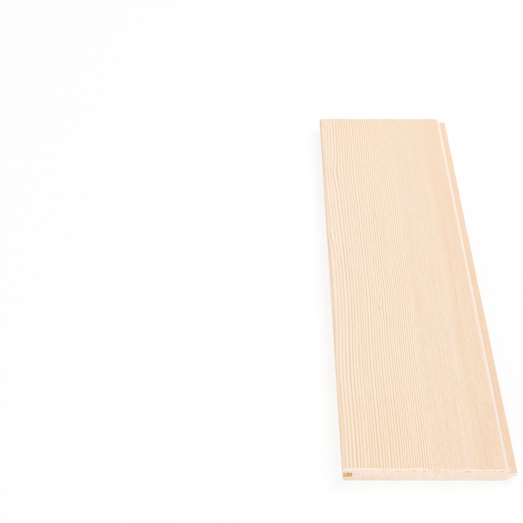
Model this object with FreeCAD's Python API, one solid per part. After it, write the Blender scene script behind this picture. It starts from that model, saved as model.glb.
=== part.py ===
import FreeCAD
import Part

import math
import os

# Driving dimensions of the board, in millimetres
board_length = 525.0
cover_width = 133.0  # face width that one laid board covers, joint to joint
tongue_length = 7.0  # how far the tongue stands out past the face joint
upper_lip = 5.0  # from the face down to the tongue's top
tongue_root = 4.6  # tongue's height past the slope at its root
tongue_tip = 4.2  # tongue's height at its tip, before the corners are rounded
root_slope_length = 3.0  # how far out the slope under the tongue's root runs
root_slope_drop = 2.0  # how much deeper the tongue is where it leaves the edge
lower_lip = 4.4  # from the back up to the end of that slope
face_round = 3.0  # radius on the two long arrises of the face
tip_round = 0.8  # radius on the tongue's upper tip corner
lead_round = 2.0  # larger radius on the lower tip corner, which leads the tongue in
tongue_bevel_width = 3.0  # flat bevel on the back's edge below the tongue
tongue_bevel_height = 1.8
lip_bevel = 1.0  # smaller bevel on the back's edge below the groove
seat_clearance = 0.2  # room above and below a tongue that is seated in the groove
groove_end_gap = 1.2  # room past the tip of a seated tongue
back_gap = 1.0  # opening left at the back when the face joint is closed

# Places across the board: X runs from the groove to the tongue, centred on the whole width
groove_x = -(cover_width + tongue_length) / 2
shoulder_x = groove_x + cover_width
tip_x = shoulder_x + tongue_length
slope_end_x = shoulder_x + root_slope_length
lower_lip_x = groove_x + back_gap
lip_slope_x = groove_x + root_slope_length
groove_end_x = groove_x + tongue_length + groove_end_gap

# Heights above the back
tongue_under_z = lower_lip
root_under_z = tongue_under_z - root_slope_drop
tongue_top_z = tongue_under_z + tongue_root
tip_under_z = tongue_top_z - tongue_tip
face_z = tongue_top_z + upper_lip
groove_top_z = tongue_top_z + seat_clearance


def groove_under_z(x):
    # The groove's lower wall runs beside the underside of a seated tongue
    past_slope = x - groove_x - root_slope_length
    if past_slope < 0:
        rise = root_slope_drop / root_slope_length
    else:
        rise = (tip_under_z - tongue_under_z) / (tongue_length - root_slope_length)
    return tongue_under_z + past_slope * rise - seat_clearance


# Corners of the moulded section, seen from the front end and going round from
# the back: across, height and the radius that rounds the corner
section_corners = [
    (lower_lip_x + lip_bevel, 0.0, 0.0),
    (shoulder_x - tongue_bevel_width, 0.0, 0.0),
    (shoulder_x, tongue_bevel_height, 0.0),
    (shoulder_x, root_under_z, 0.0),
    (slope_end_x, tongue_under_z, 0.0),
    (tip_x, tip_under_z, lead_round),
    (tip_x, tongue_top_z, tip_round),
    (shoulder_x, tongue_top_z, 0.0),
    (shoulder_x, face_z, face_round),
    (groove_x, face_z, face_round),
    (groove_x, groove_top_z, 0.0),
    (groove_end_x, groove_top_z, 0.0),
    (groove_end_x, groove_under_z(groove_end_x), 0.0),
    (lip_slope_x, groove_under_z(lip_slope_x), 0.0),
    (lower_lip_x, groove_under_z(lower_lip_x), 0.0),
    (lower_lip_x, lip_bevel, 0.0),
]


def corner_points(before, corner, after, radius):
    # Start, middle and end of the arc that rounds a corner, or the bare corner
    if radius == 0:
        return [corner]
    to_before = (before - corner).normalize()
    to_after = (after - corner).normalize()
    half_angle = to_before.getAngle(to_after) / 2
    tangent = radius / math.tan(half_angle)
    bisector = (to_before + to_after).normalize()
    middle = corner + bisector * (radius / math.sin(half_angle) - radius)
    return [corner + to_before * tangent, middle, corner + to_after * tangent]


def section_face(corners, y):
    # Flat face across the board at y: straight runs joined by tangent arcs
    places = [FreeCAD.Vector(across, y, height) for across, height, _ in corners]
    count = len(corners)
    rounded = []
    for index, (_, _, radius) in enumerate(corners):
        before = places[index - 1]
        after = places[(index + 1) % count]
        rounded.append(corner_points(before, places[index], after, radius))
    edges = []
    for index, points in enumerate(rounded):
        if len(points) > 1:
            edges.append(Part.Arc(*points).toShape())
        run_end = rounded[(index + 1) % count][0]
        edges.append(Part.LineSegment(points[-1], run_end).toShape())
    return Part.Face(Part.Wire(edges))


# The planed section runs the whole length, and both ends are sawn square
front_end = section_face(section_corners, -board_length / 2)
board = front_end.extrude(FreeCAD.Vector(0, board_length, 0))

os.makedirs("parts", exist_ok=True)
board.exportStep("parts/board.step")
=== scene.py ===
import math

import bpy
import numpy as np
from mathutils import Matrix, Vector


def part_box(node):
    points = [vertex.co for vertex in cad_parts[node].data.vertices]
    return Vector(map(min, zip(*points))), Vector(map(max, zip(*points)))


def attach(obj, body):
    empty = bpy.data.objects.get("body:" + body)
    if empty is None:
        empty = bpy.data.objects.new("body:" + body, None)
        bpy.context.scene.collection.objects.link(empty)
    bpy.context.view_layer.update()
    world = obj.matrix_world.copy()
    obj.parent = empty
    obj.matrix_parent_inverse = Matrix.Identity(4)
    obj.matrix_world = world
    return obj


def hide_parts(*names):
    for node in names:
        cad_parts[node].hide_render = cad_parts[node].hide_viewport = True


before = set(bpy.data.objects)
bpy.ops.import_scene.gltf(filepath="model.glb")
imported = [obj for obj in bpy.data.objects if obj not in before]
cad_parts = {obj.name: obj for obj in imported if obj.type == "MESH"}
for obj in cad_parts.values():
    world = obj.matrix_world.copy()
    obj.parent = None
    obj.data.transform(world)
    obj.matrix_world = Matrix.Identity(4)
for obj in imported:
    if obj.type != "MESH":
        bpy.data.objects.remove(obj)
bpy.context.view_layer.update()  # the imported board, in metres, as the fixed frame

mm = 0.001
boardLow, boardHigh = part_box("board")
boardLength = (boardHigh.y - boardLow.y) / mm
boardThick = (boardHigh.z - boardLow.z) / mm
print("frame: board is", round(boardLength, 1), "mm long and", round(boardThick, 1), "mm thick")


# One output socket of a shader. An operator on sockets and numbers adds its Math node.
class Wire:
    def __init__(self, tree, socket):
        self.tree = tree
        self.socket = socket

    # Adds any node: settings first, then a value or a link for each named socket
    @classmethod
    def fromNode(cls, tree, kind, settings=None, sockets=None, output=0):
        node = tree.nodes.new(kind)
        for name, value in (settings or {}).items():
            setattr(node, name, value)
        for name, value in (sockets or {}).items():
            if isinstance(value, Wire):
                tree.links.new(value.socket, node.inputs[name])
            else:
                node.inputs[name].default_value = value
        return cls(tree, node.outputs[output] if node.outputs else None)  # a last node sends nothing on

    def other(self, output):  # another output of the same node
        return Wire(self.tree, self.socket.node.outputs[output])

    def maths(self, operation, *values):  # a Math node on one or two values
        sockets = dict(enumerate(values))
        return Wire.fromNode(self.tree, "ShaderNodeMath", {"operation": operation}, sockets)

    def __add__(self, value):
        return self.maths("ADD", self, value)

    def __radd__(self, value):
        return self.maths("ADD", value, self)

    def __sub__(self, value):
        return self.maths("SUBTRACT", self, value)

    def __rsub__(self, value):
        return self.maths("SUBTRACT", value, self)

    def __mul__(self, value):
        return self.maths("MULTIPLY", self, value)

    def __rmul__(self, value):
        return self.maths("MULTIPLY", value, self)

    def __neg__(self):
        return self.maths("MULTIPLY", self, -1.0)


# The few functions that work on arrays of points and on shader sockets alike
def rootOf(value):  # square root
    return value.maths("SQRT", value) if isinstance(value, Wire) else np.sqrt(value)


def sineOf(value):  # sine of an angle in radians
    return value.maths("SINE", value) if isinstance(value, Wire) else np.sin(value)


def expOf(value):  # e raised to the value
    return value.maths("EXPONENT", value) if isinstance(value, Wire) else np.exp(value)


def wholeOf(value):  # largest whole number not above the value
    return value.maths("FLOOR", value) if isinstance(value, Wire) else np.floor(value)


def aboveZero(value):  # the value, or zero where it is negative
    return value.maths("MAXIMUM", value, 0.0) if isinstance(value, Wire) else np.maximum(value, 0.0)


def rise(value, start, end, before=0.0, after=1.0):
    # Smooth step from before to after: 3t^2 - 2t^3 of the share t of the way from start to end
    if isinstance(value, Wire):
        limits = {"Value": value, "From Min": start, "From Max": end, "To Min": before, "To Max": after}
        smooth = {"interpolation_type": "SMOOTHSTEP"}
        return Wire.fromNode(value.tree, "ShaderNodeMapRange", smooth, limits)
    share = np.clip((value - start) / (end - start), 0.0, 1.0)
    return before + (after - before) * share * share * (3.0 - 2.0 * share)


# Growth rings, in millimetres from the groove-side edge, from the front end and above the back
ringGrowth = {
    "pithAcross": -40.0,
    "pithHeight": -61.0,
    "ringSteepness": 0.15,  # how much of a step down counts: the rings stand steep at the ends
    "firstRadius": 87.1,
    "ringWidth": 1.649,
    "quietWood": (134.0, 139.0),  # radii over which the bold lines give way to fine ones
    "quietTighter": 0.12,  # more rings for each millimetre past there
    # slow waves of the grain along the board: sideways, wave length, start
    "drift": ((2.72, 1170.0, -0.23), (0.55, 268.0, 2.12), (0.24, 152.0, -0.57)),
    "driftLevel": -0.36,
    # the same for a part that grows from one edge to the middle of the board and beyond
    "spread": ((1.06, 860.0, 3.81), (0.77, 315.0, -0.30), (0.17, 109.0, 1.77)),
    "spreadLevel": 0.57,
    "spreadMiddle": 38.0,
    # uneven years: rings, wave length in radius, start
    "unevenness": (
        (0.153, 22.44, -2.65),
        (0.108, 50.35, -3.42),
        (0.09, 6.3, 0.7),
        (0.08, 9.4, 2.9),
    ),
    # where a bud pushed the rings aside: across, along, rings, width, length to the back and front
    "humps": (
        (8.0, 415.0, 0.45, 11.0, 25.0, 170.0),
        (12.0, 424.0, 0.35, 3.5, 9.0, 22.0),
        (3.5, 313.0, 0.35, 3.0, 7.0, 16.0),
        (43.2, 202.0, 0.80, 2.8, 6.0, 14.0),
    ),
    # dark cores of those buds: across, along, half width, half length, darkness
    "cores": (
        (14.3, 421.0, 0.7, 6.0, 0.45),
        (9.9, 418.0, 0.7, 6.0, 0.30),
        (3.2, 309.0, 0.7, 6.0, 0.30),
        (43.7, 198.0, 0.8, 4.0, 0.85),
    ),
    "coreDepths": (4.0, 2.0),  # below the face, where a core begins and where it is full
    "earlyEnd": 0.25,  # share of a ring where the summer wood starts to darken
    "lateFull": 0.80,
    "lateEnd": 0.90,  # and where it stops short, at the next spring
}


def waves(place, terms, level):
    # Level plus sines of a place or radius, each with its size, wave length and start
    total = level
    for size, wave, start in terms:
        total = total + size * sineOf(place * (2 * math.pi / wave) + start)
    return total


def ringRadius(across, along, height):
    # Distance from the pith in the cross-section, squeezed in height, after the grain's sideways drift:
    # waves plus waves that grow across
    middle = ringGrowth["spreadMiddle"]
    growing = 1 - aboveZero(2 * middle - across) * (1 / middle)
    drift = waves(along, ringGrowth["drift"], ringGrowth["driftLevel"])
    spread = waves(along, ringGrowth["spread"], ringGrowth["spreadLevel"])
    sideways = across - drift - spread * growing - ringGrowth["pithAcross"]
    squeezed = ringGrowth["ringSteepness"] * (height - boardThick) + boardThick
    upwards = squeezed - ringGrowth["pithHeight"]
    return rootOf(sideways * sideways + upwards * upwards)


def ringCount(across, along, radius):
    # Rings from the pith out: radius over ring width, with uneven years and a bell-shaped hump at each bud
    count = (radius - ringGrowth["firstRadius"]) * (1 / ringGrowth["ringWidth"])
    count = count + aboveZero(radius - ringGrowth["quietWood"][0]) * ringGrowth["quietTighter"]
    count = count + waves(radius, ringGrowth["unevenness"], 0.0)
    for humpAcross, humpAlong, size, wide, longBack, longFront in ringGrowth["humps"]:
        sideways = (across - humpAcross) * (1 / wide)
        past = along - humpAlong
        lengthways = aboveZero(past) * (1 / longBack) + aboveZero(-past) * (1 / longFront)
        count = count + size * expOf(-(sideways * sideways + lengthways * lengthways))
    return count


def lateWood(count):
    # Share of dense summer wood: a slow rise through each ring that ends sharply
    part = count - wholeOf(count)
    slowRise = rise(part, ringGrowth["earlyEnd"], ringGrowth["lateFull"])
    return slowRise - rise(part, ringGrowth["lateEnd"], 1.0)


def bells(first, second, terms):
    # Sum of bell-shaped spots in two coordinates: e to minus the squared distances over the half widths
    total = 0.0
    for middleFirst, middleSecond, wideFirst, wideSecond, size in terms:
        u = (first - middleFirst) * (1 / wideFirst)
        v = (second - middleSecond) * (1 / wideSecond)
        total = total + size * expOf(-(u * u + v * v))
    return total


def budCores(across, along, height):
    # Darkness of the buds' cores: a bell across and along for each, only close under the face
    begins, isFull = ringGrowth["coreDepths"]
    return bells(across, along, ringGrowth["cores"]) * rise(height, boardThick - begins, boardThick - isFull)


# The moulded section, in millimetres, and how finely it is divided
boardForm = {
    "tongueLength": 7.0,
    "upperLip": 5.0,  # face down to the tongue's top
    "tongueRoot": 4.6,  # tongue's height past the slope at its root
    "tongueTip": 4.2,
    "rootSlopeLength": 3.0,
    "rootSlopeDrop": 2.0,
    "faceRound": 3.0,
    "tipRound": 0.8,
    "leadRound": 2.0,
    "tongueBevelWidth": 3.0,
    "tongueBevelHeight": 1.8,
    "lipBevel": 1.0,
    "seatClearance": 0.2,
    "grooveEndGap": 1.2,
    "backGap": 1.0,
    "faceSteps": 240,
    "slopeSteps": 5,
    "lipSteps": 14,
    "tongueSteps": 14,
    "bevelSteps": 2,
    "lowEdgeSteps": 4,
    "leadSteps": 5,
    "tipSteps": 2,
    "tipRoundSteps": 3,
    "upEdgeSteps": 3,
    "faceRoundSteps": 7,
    "endSteps": 9,  # stations close to each sawn end
    "endFirstStep": 0.25,
    "endGrowth": 1.45,
    "middleSteps": 100,
    "ringRelief": 0.06,  # how far spring wood is planed below summer wood
    "ringReliefFade": 0.8,  # and the length at each end over which that starts
    "sawRelief": 0.10,
    "sawReliefFade": 0.6,
    "sawNoises": ((0.6, 1.7, 1.7), (0.4, 0.35, 2.6)),  # share, cycles to a millimetre across and up
    "sawSeeds": (11, 23),  # front end, back end
    "endEase": 0.18,  # rubbed edge of the face at the sawn ends
    "endEaseVaries": 0.2,
    "endEaseNoise": (0.9, 0.13),
    "endEaseSeeds": (5, 8),
    "chipCount": 26,
    "chipWidths": (0.5, 1.6),
    "chipDepths": (0.15, 0.50),
    "rubbedAndHighlightFrom": (0.02, 0.12),  # easing where the wood starts to look rubbed, with painted highlight, and where it fully does
    "arrisAcross": (-1.3, -0.5),  # where the arris above the tongue takes its painted highlight, in face rounds from its corner
    "arrisUp": (-1.1, -0.7),
    "sharpDegrees": 32,  # an edge that turns by more than this stays sharp
    "mergeDigits": 5,  # points that agree to this many decimals are one
}


def straight(start, end, steps):
    # Evenly spaced points from start to end
    share = np.linspace(0.0, 1.0, steps + 1)[:, None]
    return np.array(start) + share * (np.array(end) - np.array(start))


def bend(centre, radius, fromDegrees, toDegrees, steps):
    # Points on an arc: centre plus radius times the cosine and sine of evenly spaced angles
    angle = np.radians(np.linspace(fromDegrees, toDegrees, steps + 1))
    return np.array(centre) + radius * np.stack([np.cos(angle), np.sin(angle)], axis=1)


def joined(*curves):
    # Curves end to end, with each shared point kept once
    return np.vstack([curves[0]] + [curve[1:] for curve in curves[1:]])


def sectionCurves(form):
    # The section's edges as straight runs and arcs of (across, height), from left to right or back to face
    grooveX = boardLow.x / mm
    tipX = boardHigh.x / mm
    shoulderX = tipX - form["tongueLength"]
    lowerX = grooveX + form["backGap"]
    endX = grooveX + form["tongueLength"] + form["grooveEndGap"]
    steepEnd = form["rootSlopeLength"]
    steep = form["rootSlopeDrop"] / steepEnd
    tongueTop = boardThick - form["upperLip"]
    slopeUnder = tongueTop - form["tongueRoot"]
    rootUnder = slopeUnder - form["rootSlopeDrop"]
    slope = (form["tongueRoot"] - form["tongueTip"]) / (form["tongueLength"] - steepEnd)
    grooveTop = tongueTop + form["seatClearance"]
    lipUnder = slopeUnder - form["seatClearance"]
    mouthUnder = lipUnder - steep * (steepEnd - form["backGap"])
    endUnder = lipUnder + slope * (endX - grooveX - steepEnd)
    bevelX = shoulderX - form["tongueBevelWidth"]
    bevelZ = form["tongueBevelHeight"]
    lipBevel = form["lipBevel"]
    flatSteps = form["tongueSteps"] - form["slopeSteps"]
    innerSteps = form["lipSteps"] - form["slopeSteps"]
    roundFace = form["faceRound"]
    roundZ = boardThick - roundFace
    lead = form["leadRound"]
    tilt = math.degrees(math.atan(slope))
    leadX = tipX - lead
    leadBase = slopeUnder + slope * (leadX - shoulderX - steepEnd)
    leadZ = leadBase + lead / math.cos(math.radians(tilt))
    leadArc = bend((leadX, leadZ), lead, tilt - 90, 0, form["leadSteps"])
    tipTop = tongueTop - form["tipRound"]
    tipArc = bend((tipX - form["tipRound"], tipTop), form["tipRound"], 0, 90, form["tipRoundSteps"])
    tipEdge = straight((tipX, leadZ), (tipX, tipTop), form["tipSteps"])
    upSteps = form["upEdgeSteps"] + form["faceRoundSteps"]
    lowSteps = form["bevelSteps"] + form["lowEdgeSteps"]
    midSteps = form["leadSteps"] + form["tipSteps"] + form["tipRoundSteps"]
    slopeEnd = (shoulderX + steepEnd, slopeUnder)
    faceLeft, faceMiddle = (grooveX + roundFace, boardThick), (endX, boardThick)
    faceRight = (shoulderX - roundFace, boardThick)
    return {
        "lipBack": straight((lowerX + lipBevel, 0), (endX, 0), form["lipSteps"]),
        "back": straight((endX, 0), (bevelX, 0), form["faceSteps"]),
        "lowShoulder": joined(
            straight((bevelX, 0), (shoulderX, bevelZ), form["bevelSteps"]),
            straight((shoulderX, bevelZ), (shoulderX, rootUnder), form["lowEdgeSteps"]),
        ),
        "tongueUnder": joined(
            straight((shoulderX, rootUnder), slopeEnd, form["slopeSteps"]),
            straight(slopeEnd, leadArc[0], flatSteps),
        ),
        "tongueTip": joined(leadArc, tipEdge, tipArc),
        "tongueTop": straight((shoulderX, tongueTop), tipArc[-1], form["tongueSteps"]),
        "tongueRoot": straight((shoulderX, rootUnder), (shoulderX, tongueTop), midSteps),
        "upShoulder": joined(
            straight((shoulderX, tongueTop), (shoulderX, roundZ), form["upEdgeSteps"]),
            bend((shoulderX - roundFace, roundZ), roundFace, 0, 90, form["faceRoundSteps"]),
        ),
        "face": straight(faceMiddle, faceRight, form["faceSteps"]),
        "lipFace": straight(faceLeft, faceMiddle, form["lipSteps"]),
        "upLip": joined(
            straight((grooveX, grooveTop), (grooveX, roundZ), form["upEdgeSteps"]),
            bend((grooveX + roundFace, roundZ), roundFace, 180, 90, form["faceRoundSteps"]),
        ),
        "grooveTop": straight((grooveX, grooveTop), (endX, grooveTop), form["lipSteps"]),
        "grooveEnd": straight((endX, endUnder), (endX, grooveTop), midSteps),
        "grooveUnder": joined(
            straight((lowerX, mouthUnder), (grooveX + steepEnd, lipUnder), form["slopeSteps"]),
            straight((grooveX + steepEnd, lipUnder), (endX, endUnder), innerSteps),
        ),
        "lowLip": joined(
            straight((lowerX + lipBevel, 0), (lowerX, lipBevel), form["bevelSteps"]),
            straight((lowerX, lipBevel), (lowerX, mouthUnder), form["lowEdgeSteps"]),
        ),
        "upWeb": straight((endX, grooveTop), faceMiddle, upSteps),
        "lowWeb": straight((endX, 0), (endX, endUnder), lowSteps),
    }


def sectionLoop(curves):
    # The outline once round, anticlockwise from the front: each curve, some reversed, less its last point
    tongueSide = ("lipBack", "back", "lowShoulder", "tongueUnder", "tongueTip")
    order = [curves[name] for name in tongueSide]
    order += [curves["tongueTop"][::-1], curves["upShoulder"]]
    order += [curves["face"][::-1], curves["lipFace"][::-1], curves["upLip"][::-1]]
    order += [curves["grooveTop"], curves["grooveEnd"][::-1]]
    order += [curves["grooveUnder"][::-1], curves["lowLip"][::-1]]
    return np.vstack([curve[:-1] for curve in order])


def patch(bottom, top, left, right):
    # Coons patch: the blend of left and right, plus the blend of bottom and top, less the blend of corners
    u = np.linspace(0.0, 1.0, len(bottom))[None, :, None]
    v = np.linspace(0.0, 1.0, len(left))[:, None, None]
    across = (1 - u) * left[:, None] + u * right[:, None]
    upwards = (1 - v) * bottom[None] + v * top[None]
    lowCorners = (1 - u) * bottom[0] + u * bottom[-1]
    highCorners = (1 - u) * top[0] + u * top[-1]
    return across + upwards - ((1 - v) * lowCorners + v * highCorners)


def endPatches(curves):
    # A sawn end as four Coons patches that share their edges: body, upper lip, lower lip and tongue
    grooveSide = joined(curves["lowWeb"], curves["grooveEnd"], curves["upWeb"])
    tongueSide = joined(curves["lowShoulder"], curves["tongueRoot"], curves["upShoulder"])
    return [
        patch(curves["back"], curves["face"], grooveSide, tongueSide),
        patch(curves["grooveTop"], curves["lipFace"], curves["upLip"], curves["upWeb"]),
        patch(curves["lipBack"], curves["grooveUnder"], curves["lowLip"], curves["lowWeb"]),
        patch(curves["tongueUnder"], curves["tongueTop"], curves["tongueRoot"], curves["tongueTip"]),
    ]


def gridFaces(rows, columns, first, closed=False):
    # Quads of a grid of points: each point with its neighbours to the right, across and above
    row = np.arange(rows - 1)[:, None] * columns
    column = np.arange(columns if closed else columns - 1)[None]
    beside = (column + 1) % columns
    above = row + columns
    quads = np.stack([row + column, row + beside, above + beside, above + column], axis=-1)
    return first + quads.reshape(-1, 4)


def softNoise(u, v, seed):
    # Smooth random field from 0 to 1: seeded values on a square lattice, blended by smooth steps
    size = 64
    lattice = np.random.default_rng(seed).random((size, size))
    column = np.floor(u).astype(int)
    row = np.floor(v).astype(int)
    partU = rise(u - column, 0.0, 1.0)
    partV = rise(v - row, 0.0, 1.0)
    left, right = column % size, (column + 1) % size
    low, high = row % size, (row + 1) % size
    lower = lattice[low, left] * (1 - partU) + lattice[low, right] * partU
    upper = lattice[high, left] * (1 - partU) + lattice[high, right] * partU
    return lower * (1 - partV) + upper * partV


def boardStations(form):
    # Places along the board: steps that grow from each sawn end, and even ones between
    steps = form["endFirstStep"] * form["endGrowth"] ** np.arange(form["endSteps"])
    nearEnd = np.concatenate([[0.0], np.cumsum(steps)])
    middle = np.linspace(nearEnd[-1], boardLength - nearEnd[-1], form["middleSteps"] + 1)
    return np.concatenate([nearEnd, middle[1:-1], boardLength - nearEnd[::-1]])


def longSides(form, loop, stations):
    # The outline carried along the board, less the relief times the share of spring wood, along its normal
    ahead = np.roll(loop, -1, axis=0) - np.roll(loop, 1, axis=0)
    outward = np.stack([ahead[:, 1], -ahead[:, 0]], axis=1) / np.linalg.norm(ahead, axis=1)[:, None]
    across, along = np.meshgrid(loop[:, 0], stations)
    height = np.broadcast_to(loop[:, 1], across.shape)
    fromEdge = across - boardLow.x / mm
    late = lateWood(ringCount(fromEdge, along, ringRadius(fromEdge, along, height)))
    toEnd = np.minimum(along, boardLength - along)
    inset = form["ringRelief"] * (1 - late) * rise(toEnd, 0.0, form["ringReliefFade"])
    insetAcross, insetUp = inset * outward[:, 0], inset * outward[:, 1]
    return np.stack([across - insetAcross, along, height - insetUp], axis=-1).reshape(-1, 3)


def sawnDepth(form, flat, loop, seed):
    # How far the saw cut in at points of an end: relief times summed noises, from nothing at the outline
    toEdge = np.sqrt(((flat[:, None] - loop[None]) ** 2).sum(axis=2).min(axis=1))
    rough = 0.0
    for number, (share, timesAcross, timesUp) in enumerate(form["sawNoises"]):
        rough = rough + share * softNoise(flat[:, 0] * timesAcross, flat[:, 1] * timesUp, seed + number)
    return form["sawRelief"] * rough * rise(toEdge, 0.0, form["sawReliefFade"])


def endEasing(form, across, fromEnd, below, seed):
    # Ragged chamfer at a sawn end's top edge: half of its width, with the deepest chip there, less the
    # distances from the end and below the face
    places = np.random.default_rng(seed)
    timesU, timesV = form["endEaseNoise"]
    ragged = softNoise(across * timesU, across * timesV, seed) - 0.5
    width = form["endEase"] + form["endEaseVaries"] * ragged
    chipAt = places.uniform(across.min(), across.max(), form["chipCount"])
    chipWide = places.uniform(*form["chipWidths"], form["chipCount"])
    chipDeep = places.uniform(*form["chipDepths"], form["chipCount"])
    chips = chipDeep * np.exp(-(((across[:, None] - chipAt) / chipWide) ** 2))
    return aboveZero(width + chips.max(axis=1) - fromEnd - below) * 0.5


def easedPoints(form, points):
    # Points moved off each end and down by their easing, with a fourth column: a smooth step of that easing,
    # which places the rubbed edge's pale colour and painted highlight
    frontSeed, backSeed = form["endEaseSeeds"]
    across, along, height = points.T
    below = boardThick - height
    front = endEasing(form, across, along, below, frontSeed)
    back = endEasing(form, across, boardLength - along, below, backSeed)
    rubbedAndHighlight = rise(front + back, *form["rubbedAndHighlightFrom"])
    return np.stack([across, along + front - back, height - (front + back), rubbedAndHighlight], axis=1)


def arrisHighlightShare(form, points):
    # 1 where the painted highlight lies on the rounded arris above the tongue: a smooth step across times one
    # upwards
    cornerX = boardHigh.x / mm - form["tongueLength"]
    acrossRounds = (points[:, 0] - cornerX) / form["faceRound"]
    upRounds = (points[:, 2] - boardThick) / form["faceRound"]
    return rise(acrossRounds, *form["arrisAcross"]) * rise(upRounds, *form["arrisUp"])


def makeBoard(form):
    # The outline along the board, closed by the patches of both sawn ends; points that meet become one
    curves = sectionCurves(form)
    loop = sectionLoop(curves)
    stations = boardStations(form)
    points = [longSides(form, loop, stations)]
    faces = [gridFaces(len(stations), len(loop), 0, closed=True)[:, ::-1]]
    print("board: outline of", len(loop), "points at", len(stations), "stations")
    first = len(points[0])
    for seed, backEnd in zip(form["sawSeeds"], (False, True)):
        for grid in endPatches(curves):
            flat = grid.reshape(-1, 2)
            inward = sawnDepth(form, flat, loop, seed)
            along = boardLength - inward if backEnd else inward
            points.append(np.stack([flat[:, 0], along, flat[:, 1]], axis=1))
            quads = gridFaces(grid.shape[0], grid.shape[1], first)
            faces.append(quads[:, ::-1] if backEnd else quads)
            first += len(flat)
    endFaces = np.repeat([0.0, 1.0], [len(faces[0]), sum(len(quads) for quads in faces[1:])])
    eased = np.round(easedPoints(form, np.vstack(points)), form["mergeDigits"])
    points, kept = np.unique(eased, axis=0, return_inverse=True)
    faces = kept.reshape(-1)[np.vstack(faces)]
    points, rubbedAndHighlight = points[:, :3], points[:, 3]
    points[:, 1] += boardLow.y / mm

    mesh = bpy.data.meshes.new("planedBoard")
    mesh.from_pydata(points * mm, [], faces)
    mesh.attributes.new("endGrain", "FLOAT", "FACE").data.foreach_set("value", endFaces)
    # the arris attribute places the painted highlight on the arris above the tongue
    mesh.attributes.new("arris", "FLOAT", "POINT").data.foreach_set("value", arrisHighlightShare(form, points))
    # share of the rubbed edge's pale colour and painted highlight
    mesh.attributes.new("rubbedAndHighlight", "FLOAT", "POINT").data.foreach_set("value", rubbedAndHighlight)
    mesh.polygons.foreach_set("use_smooth", np.ones(len(faces), dtype=bool))
    mesh.set_sharp_from_angle(angle=math.radians(form["sharpDegrees"]))
    mesh.validate()
    board = bpy.data.objects.new("planedBoard", mesh)
    bpy.context.scene.collection.objects.link(board)
    print("board:", len(points), "points and", len(faces), "faces")
    return board


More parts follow.
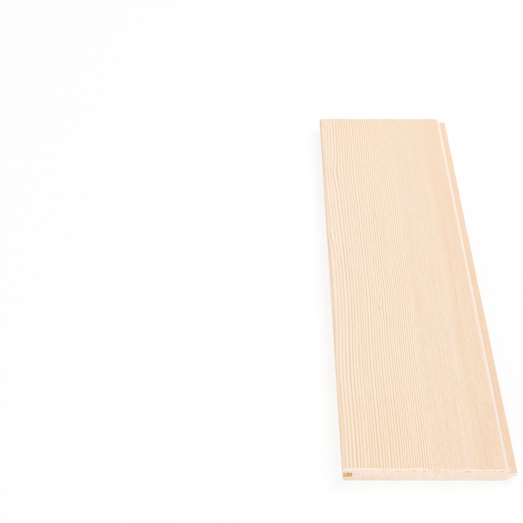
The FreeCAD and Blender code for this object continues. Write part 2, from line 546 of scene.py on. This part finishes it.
# Bare planed softwood, in the same millimetres; colours are linear
woodFinish = {
    "springColour": (0.963, 0.842, 0.740, 1.0),
    "summerColour": (0.867, 0.602, 0.355, 1.0),
    # noises: cycles to a millimetre in three coordinates, detail, roughness
    "fibre": ((0.55, 0.010, 0.3), 4.0, 0.65),
    "grit": ((0.9, 0.16, 0.9), 2.0, 0.6),
    "streak": ((0.6, 0.010, 0.4), 3.0, 0.5),
    "mottle": ((0.060, 0.008, 0.060), 2.0, 0.5),
    "fleck": ((2.6, 0.16, 2.6), 1.0, 0.5),
    "pores": ((0.5, 0.9, 0.5), 3.0, 0.7),
    "saw": ((0.22, 1.0, 0.9), 2.0, 0.5),
    "torn": ((0.45, 1.0, 0.5), 3.0, 0.6),
    # how bold the lines are
    "lateMean": 0.43,  # share of summer wood over a whole ring
    "yearStrength": (0.80, 1.20),  # weakest and strongest year
    "strongYears": (0.30, 12.4, -0.914),  # bolder and weaker years in turn: share, radius between, start
    "linesOutwards": (106.0, 118.0, 0.84, 1.10),  # from and to a radius, strength before and after
    "linesBackwards": (80.0, 480.0, 1.11, 0.88),  # the same along the board
    "streakGain": 1.2,
    "boldLevel": 0.42,  # mean darkness of the boldly lined wood, and what its lines add
    "boldGain": 1.02,
    "fineLevel": 0.46,  # the same in the quiet wood
    "fineGain": 0.45,
    # what lies over the lines: strength in the boldly lined wood and in the quiet wood
    "textureGains": {"fibre": (0.45, 0.62), "grit": (0.50, 0.60), "mottle": (0.15, 0.15)},
    "textureBackwards": (40.0, 480.0, 1.15, 0.75),
    "fleckLimits": (0.16, 0.26),  # noise where a fleck starts and where it is full
    "fleckGain": 0.10,
    # bands that are darker or paler than the rest: across, along, half width, half length, darkness
    "bands": (
        (115.2, 150.0, 0.7, 260.0, 0.11),
        (116.9, 150.0, 0.9, 260.0, -0.07),
        (35.0, 230.0, 8.0, 170.0, -0.06),
    ),
    "bandSlant": 0.0028,  # sideways step of the bands for each step along the board
    "grooveEdge": (10.0, 22.0, -0.09, 0.0),  # paler wood beside the groove-side edge
    # tints
    "quietTint": (0.988, 0.992, 1.0, 1.0),
    "warmTint": (0.982, 0.91, 0.83, 1.0),
    "warmOutwards": (164.0, 170.0, 0.0, 0.50),  # towards the tongue, by radius
    "warmFront": (20.0, 125.0, 0.34, 0.0),  # near the front end, and less in the quiet wood
    "warmFrontQuiet": 0.4,
    "warmBack": (440.0, 520.0, 0.0, 0.16),  # near the back end, in the boldly lined wood
    "warmLip": (1.0, 4.0, 0.60, 0.0),  # the groove-side arris
    # painted highlight on the arris above the tongue
    "arrisHighlightColour": (0.942, 0.832, 0.765, 1.0),
    # painted shade inside the groove: its tint, and where it lies
    "grooveShadeTint": (1.0, 0.90, 0.68, 1.0),
    "grooveDepth": (8.3, 8.9, 1.0, 0.0),  # across, just past the groove's end
    "grooveFloor": (2.6, 3.2),  # heights
    "grooveRoof": (9.3, 9.7),
    # sawn ends
    "endPale": (0.945, 0.815, 0.710, 1.0),
    "endDark": (0.800, 0.600, 0.420, 1.0),
    "endLevel": 0.20,
    "endLineGain": 0.17,
    "poreGain": (22.0, 40.0, 2.4, 1.5),  # blotchier towards the groove
    "sawGain": 0.70,
    "endFoot": (3.5, 7.5, 1.0, 0.0),  # heights of the end's lower part
    "endFootDarker": (25.0, 70.0, 0.12, -0.10),
    # torn pale fibres with painted highlight along the top of a sawn end: from, to and strength, and how
    # strong they are elsewhere
    "tornRuns": (
        (0.0, 27.0, 0.85),
        (27.0, 41.0, 0.50),
        (41.0, 68.0, 0.85),
        (79.0, 85.0, 0.45),
        (90.0, 93.0, 0.45),
        (96.0, 107.0, 0.85),
        (109.0, 111.5, 0.45),
        (114.0, 128.5, 0.75),
    ),
    "tornElsewhere": 0.08,
    "tornSoftness": 1.0,  # half the length over which a run starts or stops
    "tornHeights": (11.1, 12.8),
    "tornRagged": 4.0,  # how far up and down a noise moves those heights
    "lowTorn": (60.0, 100.0),  # from here to there the torn fibres sink below an unbroken edge
    "lowTornBy": 0.5,
    "unbrokenHeights": (12.7, 13.3),
    "unbrokenRagged": 1.2,
    "wholeHeights": (12.0, 13.0),  # where no fibres are torn, the face's colour comes down to here
    "wholeRagged": 2.0,
    # pale of torn and rubbed fibres, with painted highlight, along the end's top edge
    "rubbedAndHighlightColour": (0.960, 0.848, 0.738, 1.0),
    "rubbedAndHighlightGain": 0.6,
    # brown spots of painted shade in the pits where a fibre broke off: across, height, half width, half
    # height, darkness
    "pitShade": (
        (43.5, 11.1, 1.0, 0.6, 0.40),
        (46.6, 10.9, 1.0, 0.6, 0.40),
        (54.2, 11.6, 2.6, 0.5, 0.40),
        (57.4, 11.1, 0.9, 0.7, 0.85),
        (65.4, 10.8, 0.9, 0.7, 0.85),
        (74.5, 10.6, 3.6, 0.5, 0.35),
        (82.1, 10.0, 1.1, 0.7, 0.50),
        (99.6, 10.0, 2.2, 0.6, 0.75),
        (114.7, 10.9, 1.1, 0.6, 0.50),
        (121.6, 10.9, 1.1, 0.6, 0.65),
        (127.6, 10.6, 1.4, 0.6, 0.75),
    ),
    "pitShadeColour": (0.76, 0.42, 0.12, 1.0),
    "frontPart": (100.0, 200.0, 1.0, 0.0),  # the painted pit shade, and the rubbed edge with its painted highlight, are at the front end only
    # surface
    "roughLevel": 0.61,
    "roughLate": -0.10,  # summer wood is planed smoother
    "roughFibre": 0.10,
    "roughEnd": 0.22,
    "reliefFibre": 0.5,
    "reliefLate": 0.2,
    "reliefFleck": 0.3,
    "bumpStrength": 0.25,
    "bumpDepth": 0.12,
    "specular": 0.3,
}


def mixColours(tree, share, first, second, how="MIX"):
    # First colour plus the share of the way to second, or to first times second
    settings = {"data_type": "RGBA", "blend_type": how}
    return Wire.fromNode(tree, "ShaderNodeMix", settings, {0: share, 6: first, 7: second}, output=2)


def noiseOn(tree, noise, coordinates):
    # Noise about zero on three coordinates, each times its scale, so that it can be drawn out along the grain
    scales, detail, roughness = noise
    scaled = [value * scale for value, scale in zip(coordinates, scales)]
    place = Wire.fromNode(tree, "ShaderNodeCombineXYZ", None, dict(enumerate(scaled)))
    sockets = {"Vector": place, "Scale": 1.0, "Detail": detail, "Roughness": roughness}
    return Wire.fromNode(tree, "ShaderNodeTexNoise", None, sockets) - 0.5


def attributeOf(tree, name):
    # The board's own attribute of that name
    return Wire.fromNode(tree, "ShaderNodeAttribute", {"attribute_name": name}, output="Fac")


def woodAt(tree, finish):
    # Place in the board, ring radius and share of summer wood there, and the line that a year draws:
    # summer wood above its mean, times the strengths of the year, the radius, the place and a streaky noise
    place = Wire.fromNode(tree, "ShaderNodeTexCoord", output="Object")
    placeX = Wire.fromNode(tree, "ShaderNodeSeparateXYZ", None, {0: place})
    across = (placeX - boardLow.x) * (1 / mm)
    along = (placeX.other(1) - boardLow.y) * (1 / mm)
    height = placeX.other(2) * (1 / mm)
    radius = ringRadius(across, along, height)
    count = ringCount(across, along, radius)
    late = lateWood(count)
    oneNumber = {"noise_dimensions": "1D"}
    year = Wire.fromNode(tree, "ShaderNodeTexWhiteNoise", oneNumber, {"W": wholeOf(count)})
    weakest, strongest = finish["yearStrength"]
    strength = (weakest + (strongest - weakest) * year) * waves(radius, [finish["strongYears"]], 1.0)
    strength = strength * rise(radius, *finish["linesOutwards"]) * rise(along, *finish["linesBackwards"])
    streak = noiseOn(tree, finish["streak"], (count, along, height))
    fleck = noiseOn(tree, finish["fleck"], (across, along, height))
    wood = {
        "across": across,
        "along": along,
        "height": height,
        "radius": radius,
        "late": late,
        "lines": (late - finish["lateMean"]) * strength * (1 + finish["streakGain"] * streak),
        "quiet": rise(radius, *ringGrowth["quietWood"]),
        "fleck": rise(fleck, *finish["fleckLimits"]),
    }
    for name in finish["textureGains"]:  # these noises follow the rings
        wood[name] = noiseOn(tree, finish[name], (radius, along, height))
    return wood


def planedDarkness(finish, wood):
    # Level plus gain times the line, from bold to fine; plus fibre, grit and mottle, flecks, buds and bands
    across, along, height = wood["across"], wood["along"], wood["height"]
    quiet, lines = wood["quiet"], wood["lines"]
    bold = finish["boldLevel"] + finish["boldGain"] * lines
    fine = finish["fineLevel"] + finish["fineGain"] * lines
    darkness = bold + (fine - bold) * quiet
    texture = 0.0
    for name, (inBold, inQuiet) in finish["textureGains"].items():
        texture = texture + (inBold + (inQuiet - inBold) * quiet) * wood[name]
    darkness = darkness + texture * rise(along, *finish["textureBackwards"])
    darkness = darkness + finish["fleckGain"] * wood["fleck"] + budCores(across, along, height)
    darkness = darkness + bells(across - finish["bandSlant"] * along, along, finish["bands"])
    return darkness + rise(across, *finish["grooveEdge"])


def planedColour(tree, finish, wood):
    # Spring to summer colour by darkness, times the tints of quiet wood and warm places; then the painted
    # highlight on the arris above the tongue, and times the painted shade inside the groove
    across, along, height, quiet = wood["across"], wood["along"], wood["height"], wood["quiet"]
    darkness = planedDarkness(finish, wood)
    colour = mixColours(tree, darkness, finish["springColour"], finish["summerColour"])
    colour = mixColours(tree, quiet, colour, finish["quietTint"], "MULTIPLY")
    warmth = rise(wood["radius"], *finish["warmOutwards"])
    warmth = warmth + rise(along, *finish["warmFront"]) * (1 - (1 - finish["warmFrontQuiet"]) * quiet)
    warmth = warmth + rise(along, *finish["warmBack"]) * (1 - quiet)
    warmth = warmth + rise(across, *finish["warmLip"])
    colour = mixColours(tree, warmth, colour, finish["warmTint"], "MULTIPLY")
    # painted highlight on the arris above the tongue
    colour = mixColours(tree, attributeOf(tree, "arris"), colour, finish["arrisHighlightColour"])
    # painted shade inside the groove, between its floor and roof
    between = rise(height, *finish["grooveFloor"]) - rise(height, *finish["grooveRoof"])
    paintedGrooveShade = rise(across, *finish["grooveDepth"]) * between
    return mixColours(tree, paintedGrooveShade, colour, finish["grooveShadeTint"], "MULTIPLY")


def tornShare(finish, across):
    # How torn the end's top edge is: a little everywhere, plus each run between two smooth steps
    share = finish["tornElsewhere"]
    soft = finish["tornSoftness"]
    for low, high, strength in finish["tornRuns"]:
        run = rise(across, low - soft, low + soft) - rise(across, high - soft, high + soft)
        share = share + strength * run
    return share


def sawnColour(tree, finish, wood, marks, planed, runs, lowered):
    # Pale to dark by faint lines, pores and saw marks; over that, down from the top edge, the face's own
    # colour where it is whole, painted shade in pits, and pale fibres with painted highlight where the edge
    # is torn
    across, height, lines = wood["across"], wood["height"], wood["lines"]
    pores, saw = marks
    darkness = finish["endLevel"] + finish["endLineGain"] * lines
    darkness = darkness + rise(across, *finish["poreGain"]) * pores + finish["sawGain"] * saw
    darkness = darkness + rise(across, *finish["endFootDarker"]) * rise(height, *finish["endFoot"])
    colour = mixColours(tree, darkness, finish["endPale"], finish["endDark"])
    torn = noiseOn(tree, finish["torn"], (across, wood["along"], height))
    whole = rise(height + finish["wholeRagged"] * torn, *finish["wholeHeights"]) * (1 - runs)
    colour = mixColours(tree, whole, colour, planed)
    # painted shade in the pits where fibres broke off, at the front end only
    pitShade = bells(across, height, finish["pitShade"]) * rise(wood["along"], *finish["frontPart"])
    colour = mixColours(tree, pitShade, colour, finish["pitShadeColour"])
    ragged = height + finish["tornRagged"] * torn + finish["lowTornBy"] * lowered
    # pale torn fibres with painted highlight along the top edge
    colour = mixColours(tree, rise(ragged, *finish["tornHeights"]) * runs, colour, finish["rubbedAndHighlightColour"])
    unbroken = rise(height + finish["unbrokenRagged"] * torn, *finish["unbrokenHeights"])
    return mixColours(tree, lowered * unbroken, colour, planed)


def makeWood(finish):
    # Planed colour on the long sides and sawn colour on the ends, with roughness and bump as weighted sums
    material = bpy.data.materials.new("planedSoftwood")
    material.use_nodes = True
    tree = material.node_tree
    tree.nodes.clear()
    wood = woodAt(tree, finish)
    endGrain = attributeOf(tree, "endGrain")
    boardPlace = (wood["across"], wood["along"], wood["height"])
    marks = [noiseOn(tree, finish[name], boardPlace) for name in ("pores", "saw")]
    runs = tornShare(finish, wood["across"])
    lowered = rise(wood["across"], *finish["lowTorn"])
    planed = planedColour(tree, finish, wood)
    sawn = sawnColour(tree, finish, wood, marks, planed, runs, lowered)
    colour = mixColours(tree, endGrain, planed, sawn)
    # pale rubbed edge with painted highlight, at the front end's top
    rubbedAndHighlight = finish["rubbedAndHighlightGain"] * attributeOf(tree, "rubbedAndHighlight") * runs
    rubbedAndHighlight = rubbedAndHighlight * rise(wood["along"], *finish["frontPart"]) * (1 - lowered)
    colour = mixColours(tree, rubbedAndHighlight, colour, finish["rubbedAndHighlightColour"])

    roughness = finish["roughLevel"] + finish["roughLate"] * wood["late"]
    roughness = roughness + finish["roughFibre"] * wood["fibre"] + finish["roughEnd"] * endGrain
    relief = finish["reliefFibre"] * wood["fibre"] + finish["reliefLate"] * wood["late"]
    relief = relief + finish["reliefFleck"] * wood["fleck"] + endGrain * (marks[0] + marks[1])
    depth = finish["bumpDepth"] * mm
    bumpSockets = {"Strength": finish["bumpStrength"], "Distance": depth, "Height": relief}
    surfaceSockets = {
        "Base Color": colour,
        "Roughness": roughness,
        "Normal": Wire.fromNode(tree, "ShaderNodeBump", None, bumpSockets),
        "Specular IOR Level": finish["specular"],
    }
    surface = Wire.fromNode(tree, "ShaderNodeBsdfPrincipled", None, surfaceSockets)
    Wire.fromNode(tree, "ShaderNodeOutputMaterial", None, {"Surface": surface})
    print("wood:", len(tree.nodes), "nodes")
    return material


board = makeBoard(boardForm)
board.data.materials.append(makeWood(woodFinish))
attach(board, "root")
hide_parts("board")


# Pale floor, soft light and white surroundings, in metres
studio = {
    "floorRings": (0.001, 0.5, 1.5, 8.0),  # radii
    "floorSides": 64,
    "floorDrop": 0.05 * mm,
    "floorGrey": 0.78,  # what the floor sends back to the board
    "floorGlow": 0.82,  # share of the floor that stays white in the board's shadow
    "skyStrength": 0.45,
    "white": (1.0, 1.0, 1.0, 1.0),
    # place, size and power of each lamp; all point at the middle of the board
    "lamps": {
        "keyLamp": ((1.15, 0.9, 1.75), 1.4, 28.0),
        "frontLamp": ((-0.3, -2.4, 0.75), 1.2, 24.0),
        "leftLamp": ((-2.3, -0.2, 0.5), 0.8, 15.0),
    },
}


def seenRays(tree):
    # 1 for rays that show the surroundings: straight to the camera, mirrored or through glass
    path = Wire.fromNode(tree, "ShaderNodeLightPath", output="Is Camera Ray")
    mirrored = path.maths("MAXIMUM", path, path.other("Is Glossy Ray"))
    return mirrored.maths("MAXIMUM", mirrored, path.other("Is Transmission Ray"))


def makeFloor(settings):
    # A disc: rings of points at the cosine and sine of even angles, out from the middle
    sides = settings["floorSides"]
    angle = np.linspace(0.0, 2 * math.pi, sides + 1)[None, :-1]
    radius = np.array(settings["floorRings"])[:, None]
    points = np.stack([radius * np.cos(angle), radius * np.sin(angle)], axis=-1).reshape(-1, 2)
    points = np.column_stack([points, np.full(len(points), boardLow.z - settings["floorDrop"])])
    faces = gridFaces(len(radius), sides, 0, closed=True)[:, ::-1]
    mesh = bpy.data.meshes.new("studioFloor")
    mesh.from_pydata(points, [], faces.tolist() + [list(range(sides))])
    floor = bpy.data.objects.new("studioFloor", mesh)
    bpy.context.scene.collection.objects.link(floor)
    material = bpy.data.materials.new("paleFloor")
    material.use_nodes = True
    tree = material.node_tree
    tree.nodes.clear()
    seen = seenRays(tree)
    grey = (settings["floorGrey"],) * 3 + (1.0,)
    tone = mixColours(tree, seen, grey, settings["white"])
    matt = Wire.fromNode(tree, "ShaderNodeBsdfDiffuse", None, {"Color": tone})
    glow = Wire.fromNode(tree, "ShaderNodeEmission", None, {"Color": settings["white"], "Strength": 1.0})
    mixed = {0: seen * settings["floorGlow"], 1: matt, 2: glow}
    surface = Wire.fromNode(tree, "ShaderNodeMixShader", None, mixed)
    Wire.fromNode(tree, "ShaderNodeOutputMaterial", None, {"Surface": surface})
    mesh.materials.append(material)


def makeLight(settings):
    # An even sky, at full strength only where it is seen, and round lamps turned to the board's middle
    world = bpy.data.worlds.new("whiteStudio")
    bpy.context.scene.world = world
    world.use_nodes = True
    tree = world.node_tree
    tree.nodes.clear()
    seen = seenRays(tree)
    strength = settings["skyStrength"] + seen * (1.0 - settings["skyStrength"])
    skySockets = {"Color": settings["white"], "Strength": strength}
    sky = Wire.fromNode(tree, "ShaderNodeBackground", None, skySockets)
    Wire.fromNode(tree, "ShaderNodeOutputWorld", None, {"Surface": sky})
    middle = (boardLow + boardHigh) / 2
    for name, (place, size, power) in settings["lamps"].items():
        data = bpy.data.lights.new(name, "AREA")
        data.shape = "DISK"
        data.size = size
        data.energy = power
        lamp = bpy.data.objects.new(name, data)
        lamp.location = place
        lamp.rotation_euler = (middle - lamp.location).to_track_quat("-Z", "Y").to_euler()
        bpy.context.scene.collection.objects.link(lamp)


# The photograph's viewpoint, worked out from the board's edges in its square frame
viewpoint = {
    "place": (-0.1331, -0.9645, 0.7719),
    "downDegrees": 38.045,
    "leftDegrees": 0.087,
    "focalPixels": 1284.2,
    "framePixels": 523,
    "sensorWidth": 36.0,
    "farClip": 50.0,
}


def makeCamera(settings):
    # Lens: focal length in pixels over the frame's pixels, times the sensor's width; turned down and left
    data = bpy.data.cameras.new("photoCamera")
    data.sensor_width = settings["sensorWidth"]
    data.lens = settings["focalPixels"] / settings["framePixels"] * settings["sensorWidth"]
    data.clip_end = settings["farClip"]
    camera = bpy.data.objects.new("photoCamera", data)
    camera.location = settings["place"]
    camera.rotation_euler = (
        math.radians(90 - settings["downDegrees"]),
        0.0,
        math.radians(settings["leftDegrees"]),
    )
    bpy.context.scene.collection.objects.link(camera)
    bpy.context.scene.camera = camera


makeFloor(studio)
makeLight(studio)
makeCamera(viewpoint)
bpy.context.scene.view_settings.view_transform = "Standard"
print("studio: floor, lamps and camera are in place")
